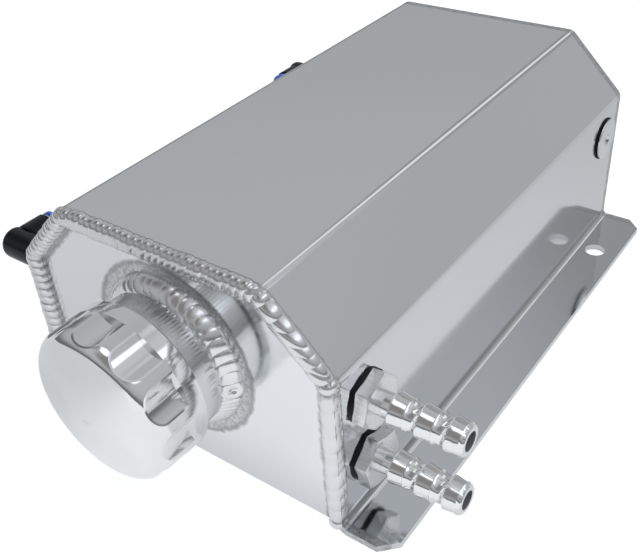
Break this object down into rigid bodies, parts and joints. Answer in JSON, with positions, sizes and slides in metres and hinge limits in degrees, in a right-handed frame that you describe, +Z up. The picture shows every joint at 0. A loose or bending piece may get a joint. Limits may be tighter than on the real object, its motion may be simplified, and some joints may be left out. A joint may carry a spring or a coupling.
{
  "type": "coolant expansion tank",
  "caption": "Folded and welded aluminium coolant expansion tank with mounting flanges, a fluted screw cap, hose barbs, a drain plug and a clear sight tube.",
  "frame": {"origin": "centre of the four mounting holes, on the undersides of the mounting flanges", "axes": "+Z up from the flanges towards the tank's top, +Y along the tank away from the filler cap, +X towards the wall with the hose barbs and the drain plug. In a car the tank may also stand on end with the cap upwards."},
  "size_m": [0.1892, 0.2497, 0.0868],
  "materials": {
    "tank_aluminium": "satin brushed sheet, bright at the folds and polished on the side walls",
    "polished_aluminium": "bright turned and polished",
    "weld_metal": "bright rippled weld bead",
    "black_rubber": "smooth black rubber",
    "black_plastic": "moulded semi-gloss black",
    "blue_plastic": "moulded blue",
    "grip_metal": "plain bright steel",
    "clear_tube": "clear colourless plastic tube"
  },
  "bodies": {
    "root": {"tank_shell": "tank_aluminium", "bottom_plate": "tank_aluminium", "front_end_plate": "tank_aluminium", "rear_end_plate": "tank_aluminium", "front_seam_weld": "weld_metal", "rear_seam_weld": "weld_metal", "bottom_seam_welds": "weld_metal", "filler_neck": "polished_aluminium", "neck_weld": "weld_metal", "upper_hose_barb": "polished_aluminium", "upper_seal_ring": "black_rubber", "upper_thread_boss": "tank_aluminium", "lower_hose_barb": "polished_aluminium", "lower_seal_ring": "black_rubber", "lower_thread_boss": "tank_aluminium", "drain_plug": "polished_aluminium", "drain_seal_ring": "black_rubber", "drain_thread_boss": "tank_aluminium", "front_sight_boss": "tank_aluminium", "front_stem_seal": "black_rubber", "front_elbow_stem": "black_plastic", "front_elbow_body": "black_plastic", "front_grip_ring": "grip_metal", "front_tube_seal": "black_rubber", "rear_sight_boss": "tank_aluminium", "rear_stem_seal": "black_rubber", "rear_elbow_stem": "black_plastic", "rear_elbow_body": "black_plastic", "rear_grip_ring": "grip_metal", "rear_tube_seal": "black_rubber", "sight_tube": "clear_tube"},
    "cap_carrier": {"cap_seal": "black_rubber"},
    "cap": {"filler_cap": "polished_aluminium"},
    "front_collar": {"front_release_collar": "blue_plastic"},
    "rear_collar": {"rear_release_collar": "blue_plastic"}
  },
  "joints": [
    {"name": "cap_travel", "type": "slide", "parent": "root", "child": "cap_carrier", "axis": [0, -1, 0], "range_m": [0, 0.0106]},
    {"name": "cap_turn", "type": "hinge", "parent": "cap_carrier", "child": "cap", "pos_m": [0, -0.1186, 0.045], "axis": [0, -1, 0], "range_deg": [0, 1080]},
    {"name": "front_collar_press", "type": "slide", "parent": "root", "child": "front_collar", "axis": [0, -1, 0], "range_m": [0, 0.0012]},
    {"name": "rear_collar_press", "type": "slide", "parent": "root", "child": "rear_collar", "axis": [0, 1, 0], "range_m": [0, 0.0012]}
  ],
  "couplings": [
    {"joint": "cap_travel", "follows": "cap_turn", "m_per_rad": 0.00055704}
  ]
}
